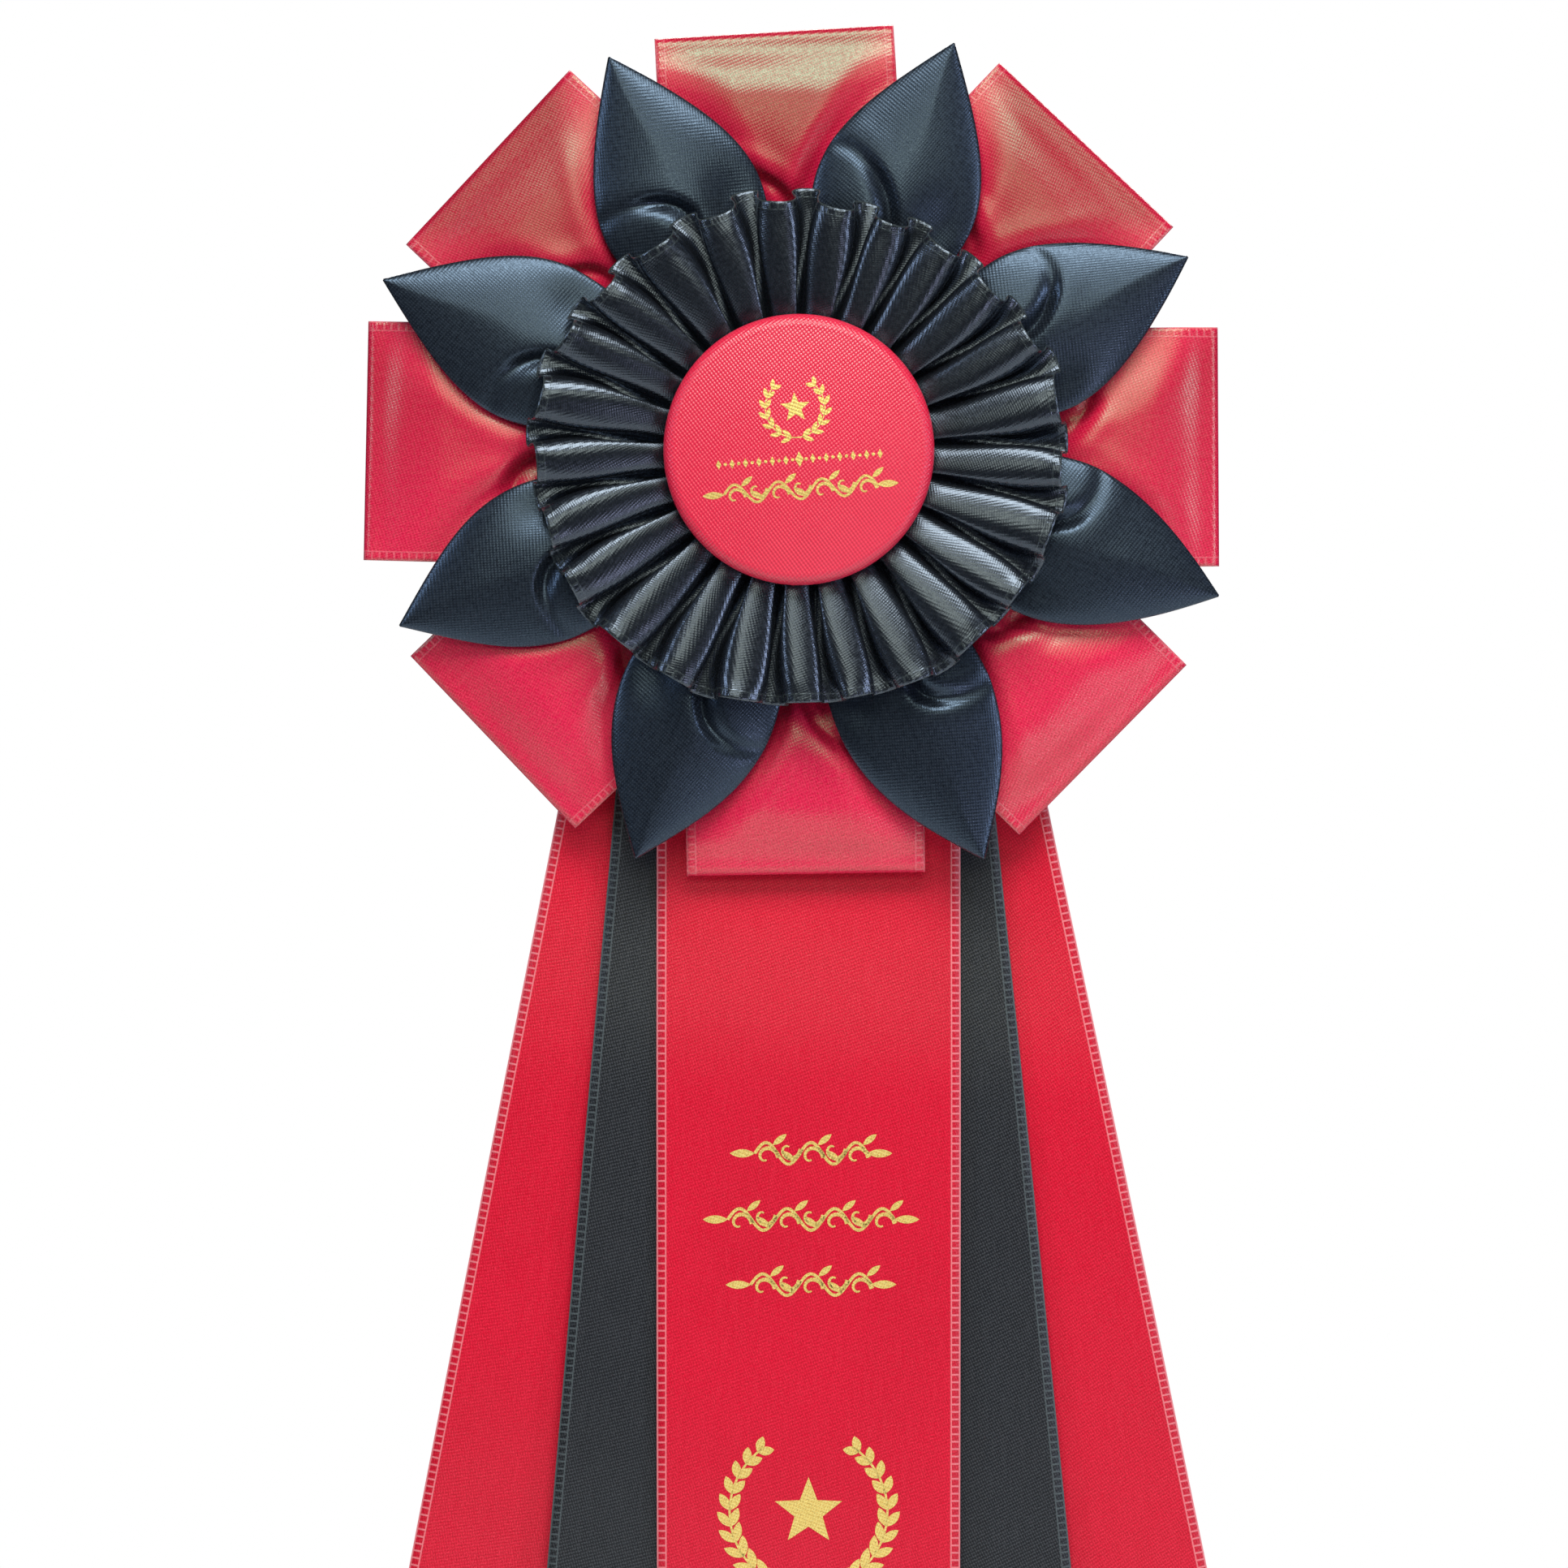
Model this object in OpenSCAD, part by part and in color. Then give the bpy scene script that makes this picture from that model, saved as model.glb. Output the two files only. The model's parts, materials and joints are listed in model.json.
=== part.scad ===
// Award ribbon: a covered button, a pleated ruffle, black petals and red loops built up on
// cards, five streamers that hang below them, and a bar pin on the back.
// It hangs upright. +Z is up, +X is to the right seen from the front, and the front faces -Y.
// The origin is on the rear card's back face, at the middle of the bar pin.
// A layer's depth is how far its back face lies in front of that face.

/* [Button] */
// Diameter of the covered button
button_d = 63.5; // [58:0.5:66]
// Height of the covered button
button_h = 6.5; // [5.5:0.1:8]
// Radius of the button's rounded rim
button_rim_r = 3; // [2.2:0.1:3.6]

/* [Ruffle] */
// Outer diameter of the pleated ruffle
ruffle_d = 126; // [116:1:130]
// Thickness of the ruffle at its gathered inner edge
ruffle_t_in = 3; // [2:0.1:3.4]
// Thickness of the ruffle at its open hem
ruffle_t_out = 9; // [6:0.5:10]

/* [Loops and petals] */
// Width of the loops' ribbon
loop_w = 57; // [52:0.5:57]
// Thickness of a folded loop
loop_t = 7.6; // [5:0.1:7.8]
// Greatest width of a petal
petal_w = 38.6; // [30:0.1:40]
// Greatest thickness of a petal
petal_t = 6.4; // [4:0.1:6.6]

/* [Streamers] */
// Width of the streamers' ribbon
streamer_w = 73; // [60:1:76]
// Length of a streamer from the rosette's middle to its points
streamer_len = 406; // [250:1:500]
// Depth of the notch in a streamer's end
notch_h = 30; // [10:1:40]
// Thickness of the streamers' ribbon
streamer_t = 0.35; // [0.2:0.01:0.4]

/* [Pin] */
// Length of the bar pin
bar_len = 38; // [34:1:50]
// Diameter of the pin wire
wire_d = 0.8; // [0.6:0.02:0.9]

/* [Hidden] */
$fn = 96;

// How far a cut runs past the faces that it goes through
cut = 1;

// Cards and pads, as depth, thickness and radius
card_r = 45;
rear_card_t = 1;
card_t = 1;
backing_depth = 6;
backing_t = 1.6;
loop_depth = 7.9;
petal_card_depth = 15.8;
petal_card_r = 36;
petal_depth = 17.1;
ruffle_card_depth = 23.8;
ruffle_card_r = 40;
ruffle_depth = 25.1;
button_depth = 29.8;
rear_pad_r = 24;
front_pad_r = 22;
button_pad_r = 20;
card_pad_r = 10;

// Ruffle and its gathering thread
ruffle_r_in = 27;
thread_r = 29;
thread_wire_r = 0.3;
thread_depth = 28.9;

// Button: cloth, stamped shell and the plate pressed in behind them
cloth_t = 0.4;
shell_t = 0.4;
shell_gap = 0.05;
hem_r_in = 28.5;
collet_t = 0.5;
collet_rim_h = 2;
collet_rim_t = 0.6;

// Loops: how far each reaches and how far each leans clockwise from its place, since they
// are laid by hand; the first points up and the rest follow clockwise
loop_step = 45;
loop_reach = [99.8, 100, 100.2, 102, 101.2, 101, 103.3, 101.8];
loop_lean = [-3.4, -1.7, -0.5, -0.5, -1, 1.4, 1.3, -1.7];
loop_base_r = 30;
loop_base_w = 19.6;
loop_base_t = 1.5;
loop_flat_r = 44;
loop_rise_r = 62;
loop_shoulder_r = 78;

// Petals: the first points up and to the right, between the first two loops
petal_reach = [103.3, 103.2, 105.8, 106.9, 104.6, 103.8, 106.7, 103.5];
petal_lean = [-1.6, -3.9, -3.4, -1.9, -0.7, -1.2, -0.2, -3.3];
petal_base_r = 28;
petal_base_w = 19;
petal_base_t = 2;
petal_flat_r = 42;
petal_wide_r = 65;
petal_point_h = 17;
petal_point_w = 22;
petal_tip_t = 1;

// Streamers: depth, tilt and where the middle line crosses the rosette's middle height
streamer_step = 0.9;
streamer_depth = 1.3;
streamer_top = 8;
rear_hinge_z = -48;
centre_hinge_z = -108;
fold_gap = 0.5;
notch_cut = 0.01;
RED_RIGHT = [0, 11.9, 4.7, rear_hinge_z];
RED_LEFT = [1, -11.2, -3.6, rear_hinge_z];
BLACK_RIGHT = [2, 5.8, 1.8, rear_hinge_z];
BLACK_LEFT = [3, -5.1, 0, rear_hinge_z];
CENTRE = [4, 0, 2.4, centre_hinge_z];
half_plane = 600;

// Staples
staple_wire = 0.4;
clinch_len = 3;
loop_staple_r = 37;
loop_staple_w = 9;
petal_staple_r = 31;
petal_staple_w = 8;
streamer_staple_w = 9;
streamer_staple_z = -15;
streamer_staple_x = 18;

// Bar pin: its parts lie behind the rear card, along +X. The feet of its ears and of the
// catch's posts are sunk a little into the bar, and foot_h is the wire's height over them.
pad_t = 0.8;
bar_t = 0.8;
bar_w = 5;
pad_inset = 1;
pad_w = 4.4;
wire_y = 6.5;
foot_sink = 0.2;
foot_h = wire_y - pad_t - bar_t + foot_sink;
hinge_inset = 2.5;
hinge_x = bar_len / 2 - hinge_inset;
ear_t = 0.6;
ear_r = 1.4;
ear_gap = 1.8;
rivet_r = 0.5;
rivet_head_r = 0.9;
rivet_head_t = 0.4;
eye_r = 1.3;
eye_h = 1.5;
eye_bore_r = 0.55;
point_len = 2.5;
point_past = 0.8;
point_r = 0.05;
catch_inset = 3.5;
catch_x = -bar_len / 2 + catch_inset;
catch_len = 5;
catch_r_in = 1.1;
catch_r = 1.65;
catch_slot = 1.2;
post_len = 1.2;
post_w = 1.4;
sleeve_gap = 0.05;
sleeve_t = 0.55;
sleeve_len = 2.4;
sleeve_slot = 1.4;
tab_len = 1.1;
tab_t = 0.6;
tab_angle = 20;

red = "#b3142e";
black = "#16181f";
card = "#e8e4da";
foam = "#f2f2ee";
steel = "#b9bcc0";

// Places a layer drawn flat in X and Y, with its thickness along +Z, in front of the rear card
module layer(depth) translate([0, -depth, 0]) rotate([90, 0, 0]) children();

// Turns a piece drawn pointing up to its clockwise place in the rosette
module clockwise(angle) rotate([0, 0, -angle]) children();

// Extrudes a profile drawn with the radius along X and the depth along Y, across a width
module across(width) rotate([90, 0, 90]) linear_extrude(width, center = true) children();

module disc(radius, height) cylinder(r = radius, h = height);

// ---- Button ----

// Half of a rounded cap's section, from the middle line to the rim
module cap_section(radius, height, rim) {
    square([radius - rim, height]);
    square([radius, height - rim]);
    translate([radius - rim, height - rim]) circle(rim);
}

module cap(radius, height, rim) rotate_extrude() intersection() {
    cap_section(radius, height, rim);
    square([radius, height]);
}

module button_cover() color(red) layer(button_depth) {
    difference() {
        cap(button_d / 2, button_h, button_rim_r);
        translate([0, 0, cloth_t])
            cap(button_d / 2 - cloth_t, button_h - 2 * cloth_t, button_rim_r - cloth_t);
        translate([0, 0, -cut]) disc(hem_r_in, cloth_t + 2 * cut);
    }
}

module button_shell() color(steel) layer(button_depth) {
    inset = cloth_t + shell_gap;
    shell_r = button_d / 2 - inset;
    shell_h = button_h - 2 * inset;
    translate([0, 0, inset]) difference() {
        cap(shell_r, shell_h, button_rim_r - inset);
        translate([0, 0, -shell_t])
            cap(shell_r - shell_t, shell_h, button_rim_r - inset - shell_t);
    }
}

module button_collet() color(steel) layer(button_depth) {
    collet_r = button_d / 2 - cloth_t - shell_t - 2 * shell_gap;
    translate([0, 0, cloth_t + shell_gap]) {
        disc(collet_r, collet_t);
        difference() {
            disc(collet_r, collet_t + collet_rim_h);
            disc(collet_r - collet_rim_t, collet_t + collet_rim_h + cut);
        }
    }
}

module button_glue_pad() color(foam) layer(ruffle_card_depth + card_t) {
    disc(button_pad_r, button_depth + cloth_t + shell_gap - ruffle_card_depth - card_t);
}

// ---- Ruffle ----

module pleated_ruffle() color(black) layer(ruffle_depth) rotate_extrude() polygon([
    [ruffle_r_in, 0],
    [ruffle_d / 2, 0],
    [ruffle_d / 2, ruffle_t_out],
    [ruffle_r_in, ruffle_t_in]
]);

module gathering_thread() color(black) layer(thread_depth) {
    rotate_extrude() translate([thread_r, 0]) circle(thread_wire_r, $fn = 24);
}

module ruffle_card() color(card) layer(ruffle_card_depth) disc(ruffle_card_r, card_t);

module front_foam_pad() color(foam) layer(petal_card_depth + card_t) {
    disc(front_pad_r, ruffle_card_depth - petal_card_depth - card_t);
}

// ---- Petals ----

module petal_outline(reach) polygon([
    [-petal_base_w / 2, petal_base_r],
    [petal_base_w / 2, petal_base_r],
    [petal_w / 2, petal_wide_r],
    [petal_point_w / 2, reach - petal_point_h],
    [0, reach],
    [-petal_point_w / 2, reach - petal_point_h],
    [-petal_w / 2, petal_wide_r]
]);

module petal_side(reach) polygon([
    [petal_base_r, 0],
    [reach, 0],
    [reach, petal_tip_t],
    [reach - petal_point_h, petal_t - petal_tip_t],
    [petal_wide_r, petal_t],
    [petal_flat_r, petal_base_t],
    [petal_base_r, petal_base_t]
]);

// One ribbon folded to a point, stapled at its gathered end
module black_petal(i) {
    reach = petal_reach[i - 1];
    angle = loop_step * (i - 0.5) + petal_lean[i - 1];
    color(black) layer(petal_depth) clockwise(angle) intersection() {
        linear_extrude(petal_t) petal_outline(reach);
        across(petal_w) petal_side(reach);
    }
}

module petal_staples() color(steel) layer(petal_depth + petal_base_t) for (i = [0:7]) {
    clockwise(loop_step * (i + 0.5) + petal_lean[i]) translate([0, petal_staple_r, 0])
        staple(petal_staple_w, petal_depth + petal_base_t - petal_card_depth);
}

module petal_card() color(card) layer(petal_card_depth) disc(petal_card_r, card_t);

module rear_foam_pad() color(foam) layer(backing_depth + backing_t) {
    disc(rear_pad_r, petal_card_depth - backing_depth - backing_t);
}

// ---- Loops ----

module loop_outline(reach) polygon([
    [-loop_base_w / 2, loop_base_r],
    [loop_base_w / 2, loop_base_r],
    [loop_w / 2, loop_shoulder_r],
    [loop_w / 2, reach],
    [-loop_w / 2, reach],
    [-loop_w / 2, loop_shoulder_r]
]);

// The side of a loop: a flat gathered end, then a belly that ends in a round fold
module loop_side(reach) {
    fold_r = loop_t / 2;
    polygon([
        [loop_base_r, 0],
        [reach - fold_r, 0],
        [reach - fold_r, loop_t],
        [loop_rise_r, loop_t],
        [loop_flat_r, loop_base_t],
        [loop_base_r, loop_base_t]
    ]);
    translate([reach - fold_r, fold_r]) circle(fold_r);
}

module red_loop(i) {
    reach = loop_reach[i - 1];
    angle = loop_step * (i - 1) + loop_lean[i - 1];
    color(red) layer(loop_depth) clockwise(angle) intersection() {
        linear_extrude(loop_t) loop_outline(reach);
        across(loop_w) loop_side(reach);
    }
}

module loop_staples() color(steel) layer(loop_depth + loop_base_t) for (i = [0:7]) {
    clockwise(loop_step * i + loop_lean[i]) translate([0, loop_staple_r, 0])
        staple(loop_staple_w, loop_depth + loop_base_t - backing_depth);
}

module backing_card() color(card) layer(backing_depth) disc(card_r, backing_t);

// ---- Staples ----

module staple_bar(size) translate(-size / 2) cube(size);

// A staple whose crown lies on a surface at height 0 and whose ends are clinched a grip below
module staple(width, grip) {
    legs_h = grip + 2 * staple_wire;
    translate([0, 0, staple_wire / 2]) staple_bar([width, staple_wire, staple_wire]);
    for (side = [-1, 1]) {
        translate([side * (width - staple_wire) / 2, 0, staple_wire - legs_h / 2])
            staple_bar([staple_wire, staple_wire, legs_h]);
        translate([side * (width - clinch_len) / 2, 0, -grip - staple_wire / 2])
            staple_bar([clinch_len, staple_wire, staple_wire]);
    }
}

// ---- Streamers ----

function streamer_front(lay) = streamer_depth + lay[0] * streamer_step;

// A whole streamer laid flat, with a notched end
module streamer_outline(lay) translate([lay[2], 0]) rotate(lay[1]) difference() {
    translate([-streamer_w / 2, -streamer_len]) square([streamer_w, streamer_len + streamer_top]);
    translate([0, -streamer_len]) polygon([
        [-streamer_w / 2, -notch_cut],
        [streamer_w / 2, -notch_cut],
        [0, notch_h]
    ]);
}

// The part of a streamer above its fold line, which is fixed to the cards
module streamer_head(lay, tint) color(tint) layer(streamer_front(lay)) {
    linear_extrude(streamer_t) intersection() {
        streamer_outline(lay);
        translate([-half_plane / 2, lay[3] + fold_gap / 2]) square(half_plane);
    }
}

// The part below the fold line, which hangs free
module streamer_tail(lay, tint) color(tint) layer(streamer_front(lay)) {
    linear_extrude(streamer_t) intersection() {
        streamer_outline(lay);
        translate([-half_plane / 2, lay[3] - fold_gap / 2 - half_plane]) square(half_plane);
    }
}

module centre_streamer_head() streamer_head(CENTRE, red);
module black_left_head() streamer_head(BLACK_LEFT, black);
module black_right_head() streamer_head(BLACK_RIGHT, black);
module red_left_head() streamer_head(RED_LEFT, red);
module red_right_head() streamer_head(RED_RIGHT, red);

module centre_streamer() streamer_tail(CENTRE, red);
module black_left_streamer() streamer_tail(BLACK_LEFT, black);
module black_right_streamer() streamer_tail(BLACK_RIGHT, black);
module red_left_streamer() streamer_tail(RED_LEFT, red);
module red_right_streamer() streamer_tail(RED_RIGHT, red);

// They go through all five heads and end inside the rear card
module streamer_staples() {
    crown_depth = streamer_front(CENTRE) + streamer_t;
    color(steel) layer(crown_depth) for (side = [-1:1]) {
        translate([side * streamer_staple_x, streamer_staple_z, 0])
            staple(streamer_staple_w, crown_depth - rear_card_t + staple_wire);
    }
}

module card_glue_pad() {
    pad_depth = streamer_front(CENTRE) + streamer_t;
    color(foam) layer(pad_depth) disc(card_pad_r, backing_depth - pad_depth);
}

module rear_card() color(card) layer(0) disc(card_r, rear_card_t);

// ---- Bar pin ----

// A box centred in X and Z that stands on a plane of constant Y
module slab(size, y) translate([-size[0] / 2, y, -size[2] / 2]) cube(size);

module pin_adhesive_pad() color(foam) slab([bar_len - 2 * pad_inset, pad_t, pad_w], 0);

// A round bar or hole along X
module along_x(radius, length) rotate([0, 90, 0]) cylinder(r = radius, h = length, center = true);

module ear() {
    cylinder(r = ear_r, h = ear_t, center = true);
    slab([2 * ear_r, foot_h, ear_t], -foot_h);
}

module ears() translate([hinge_x, wire_y, 0]) difference() {
    for (side = [-1, 1]) translate([0, 0, side * (ear_gap + ear_t) / 2]) ear();
    cylinder(r = rivet_r, h = ear_gap + 2 * ear_t + 2 * cut, center = true);
}

module catch() translate([catch_x, wire_y, 0]) difference() {
    union() {
        along_x(catch_r, catch_len);
        for (side = [-1, 1]) {
            translate([side * (catch_len - post_len) / 2, 0, 0])
                slab([post_len, foot_h - catch_r_in, post_w], -foot_h);
        }
    }
    along_x(catch_r_in, catch_len + 2 * cut);
    slab([catch_len + 2 * cut, catch_r + cut, catch_slot], 0);
}

module pin_base() color(steel) {
    slab([bar_len, bar_t, bar_w], pad_t);
    ears();
    catch();
}

module pin_rivet() color(steel) translate([hinge_x, wire_y, 0]) {
    shank = ear_gap + 2 * ear_t;
    cylinder(r = rivet_r, h = shank + 2 * rivet_head_t, center = true);
    for (side = [-1, 1]) {
        translate([0, 0, side * (shank + rivet_head_t) / 2])
            cylinder(r = rivet_head_r, h = rivet_head_t, center = true);
    }
}

// A wire with an eye at the rivet and a ground point in the catch
module pin_arm() color(steel) translate([hinge_x, wire_y, 0]) {
    wire_len = hinge_x - catch_x + catch_len / 2 - point_len + point_past;
    difference() {
        union() {
            cylinder(r = eye_r, h = eye_h, center = true);
            rotate([0, -90, 0]) cylinder(d = wire_d, h = wire_len);
        }
        cylinder(r = eye_bore_r, h = eye_h + 2 * cut, center = true);
    }
    translate([-wire_len, 0, 0]) rotate([0, -90, 0])
        cylinder(r1 = wire_d / 2, r2 = point_r, h = point_len);
}

// A split tube that turns on the catch to close its slot, with a small thumb tab
module catch_sleeve() color(steel) translate([catch_x, wire_y, 0]) {
    bore_r = catch_r + sleeve_gap;
    sleeve_r = bore_r + sleeve_t;
    difference() {
        union() {
            along_x(sleeve_r, sleeve_len);
            rotate([tab_angle, 0, 0]) translate([0, 0, -tab_t / 2])
                slab([sleeve_len, sleeve_r + tab_len, tab_t], 0);
        }
        along_x(bore_r, sleeve_len + 2 * cut);
        slab([sleeve_len + 2 * cut, sleeve_r + cut, sleeve_slot], 0);
    }
}

button_cover();
button_shell();
button_collet();
button_glue_pad();
pleated_ruffle();
gathering_thread();
ruffle_card();
front_foam_pad();
for (i = [1:8]) black_petal(i);
petal_staples();
petal_card();
rear_foam_pad();
for (i = [1:8]) red_loop(i);
loop_staples();
backing_card();
card_glue_pad();
centre_streamer_head();
black_left_head();
black_right_head();
red_left_head();
red_right_head();
centre_streamer();
black_left_streamer();
black_right_streamer();
red_left_streamer();
red_right_streamer();
streamer_staples();
rear_card();
pin_adhesive_pad();
pin_base();
pin_rivet();
pin_arm();
catch_sleeve();
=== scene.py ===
"""Looks of the award ribbon: satin ribbon pieces, foil ornaments and finishes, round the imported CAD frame.

Pieces are drawn in millimetres, and their meshes are made in metres. A point is given by x to the right, by
its height z or its radius r, and by its depth, which is how far it lies in front of the rear card's back
face.
"""
import json
import math
import random

import bpy
import numpy as np
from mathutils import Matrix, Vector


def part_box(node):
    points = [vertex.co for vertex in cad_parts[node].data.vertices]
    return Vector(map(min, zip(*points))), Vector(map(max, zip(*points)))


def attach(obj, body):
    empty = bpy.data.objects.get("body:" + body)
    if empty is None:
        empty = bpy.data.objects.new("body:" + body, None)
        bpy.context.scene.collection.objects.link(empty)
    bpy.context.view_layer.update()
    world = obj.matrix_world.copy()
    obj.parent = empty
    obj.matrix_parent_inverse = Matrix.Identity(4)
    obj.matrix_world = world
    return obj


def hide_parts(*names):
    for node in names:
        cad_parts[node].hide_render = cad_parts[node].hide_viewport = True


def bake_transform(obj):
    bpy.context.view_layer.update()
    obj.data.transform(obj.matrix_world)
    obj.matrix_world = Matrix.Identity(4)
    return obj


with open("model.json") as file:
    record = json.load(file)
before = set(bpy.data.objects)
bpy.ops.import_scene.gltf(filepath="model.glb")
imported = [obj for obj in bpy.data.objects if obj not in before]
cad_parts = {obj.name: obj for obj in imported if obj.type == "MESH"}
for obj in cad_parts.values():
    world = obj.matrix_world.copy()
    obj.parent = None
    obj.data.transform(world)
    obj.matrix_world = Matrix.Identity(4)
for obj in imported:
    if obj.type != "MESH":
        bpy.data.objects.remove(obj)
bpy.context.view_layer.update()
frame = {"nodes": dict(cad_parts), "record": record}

MM = 0.001
TAU = 2 * math.pi


# ---- What the frame says ----

def depth_of(node):
    """A node's back and front depth."""
    low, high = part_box(node)
    return -high.y / MM, -low.y / MM


LOOP_BACK = depth_of("red_loop_1")[0]
PETAL_BACK = depth_of("black_petal_1")[0]
RUFFLE_BACK = depth_of("pleated_ruffle")[0]
BUTTON_FRONT = depth_of("button_cover")[1]
RUFFLE_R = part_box("pleated_ruffle")[1].x / MM
BUTTON_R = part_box("button_cover")[1].x / MM
CENTRE_STREAMER_DEPTH = sum(depth_of("centre_streamer")) / 2

# The same places as in the CAD: reach from the middle, and lean clockwise from an even spacing
STEP = 45
LOOP_REACH = [99.8, 100, 100.2, 102, 101.2, 101, 103.3, 101.8]
LOOP_LEAN = [-3.4, -1.7, -0.5, -0.5, -1, 1.4, 1.3, -1.7]
LOOP_W = 57
PETAL_REACH = [103.3, 103.2, 105.8, 106.9, 104.6, 103.8, 106.7, 103.5]
PETAL_LEAN = [-1.6, -3.9, -3.4, -1.9, -0.7, -1.2, -0.2, -3.3]
PETAL_W = 38.6
STREAMER_W = 73
STREAMER_LEN = 406
STREAMER_TOP = 8
NOTCH_H = 30
# Streamer name: its head's node, tilt, where its middle line crosses the button's height, and its finish
STREAMERS = {
    "centre_streamer": ("centre_streamer_head", 0, 2.4, "red"),
    "black_left_streamer": ("black_left_head", -5.1, 0, "black"),
    "black_right_streamer": ("black_right_head", 5.8, 1.8, "black"),
    "red_left_streamer": ("red_left_head", -11.2, -3.6, "red"),
    "red_right_streamer": ("red_right_head", 11.9, 4.7, "red"),
}


# ---- Camera and light ----

CAMERA_PLACE = (-0.0035, -1.573, -0.0158)
CAMERA_TARGET = (-0.0035, -0.02, -0.0793)
RIBBON_MIDDLE = (0, 0, -0.05)


def add_object(name, data):
    obj = bpy.data.objects.new(name, data)
    bpy.context.collection.objects.link(obj)
    return obj


def aim(obj, target):
    direction = np.array(target) - np.array(obj.location)
    yaw = math.atan2(-direction[0], direction[1])
    pitch = math.atan2(direction[2], math.hypot(direction[0], direction[1]))
    obj.rotation_euler = (math.pi / 2 + pitch, 0, yaw)


def add_camera():
    camera = add_object("camera", bpy.data.cameras.new("camera"))
    camera.data.lens = 150
    camera.data.sensor_width = 36
    camera.data.clip_start = 0.01
    camera.location = CAMERA_PLACE
    aim(camera, CAMERA_TARGET)
    bpy.context.scene.camera = camera


def add_area(name, location, size, power, colour, target=RIBBON_MIDDLE):
    light = bpy.data.lights.new(name, "AREA")
    light.shape = "RECTANGLE"
    light.size, light.size_y = size
    light.energy = power
    light.color = colour
    obj = add_object(name, light)
    obj.location = location
    aim(obj, target)


def add_lights():
    add_area("top", (0.12, -1.50, 1.70), (1.7, 1.0), 56, (1.0, 0.94, 0.80))
    add_area("front", (0.02, -1.60, 0.46), (0.9, 0.4), 4.4, (1.0, 0.92, 0.66), (0, 0, 0))
    add_area("left", (-1.7, -0.95, 0.5), (0.3, 1.1), 7, (0.80, 0.88, 1.0))
    add_area("right", (1.7, -0.85, -0.05), (0.3, 1.1), 8, (0.88, 0.88, 1.0))
    add_area("low", (0.95, -1.50, -0.80), (0.5, 0.4), 2.5, (1.0, 0.86, 0.95), (0, 0, -0.06))
    add_area("back", (0.2, 1.3, 0.8), (1.2, 1.2), 26, (1.0, 0.98, 0.95))


def add_world():
    """White behind the ribbon where the camera looks past it, and a faint bluish fill for everything else."""
    world = bpy.data.worlds.new("studio")
    world.use_nodes = True
    nodes, links = world.node_tree.nodes, world.node_tree.links
    fill = nodes["Background"]
    fill.inputs["Color"].default_value = (0.86, 0.92, 1.0, 1)
    fill.inputs["Strength"].default_value = 0.04
    seen = nodes.new("ShaderNodeBackground")
    seen.inputs["Color"].default_value = (1, 1, 1, 1)
    seen.inputs["Strength"].default_value = 1.0
    path = nodes.new("ShaderNodeLightPath")
    mix_backgrounds = nodes.new("ShaderNodeMixShader")
    links.new(path.outputs["Is Camera Ray"], mix_backgrounds.inputs["Fac"])
    links.new(fill.outputs["Background"], mix_backgrounds.inputs[1])
    links.new(seen.outputs["Background"], mix_backgrounds.inputs[2])
    links.new(mix_backgrounds.outputs["Shader"], nodes["World Output"].inputs["Surface"])
    bpy.context.scene.world = world
    bpy.context.scene.view_settings.view_transform = "Standard"


# ---- Node helpers ----

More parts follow.
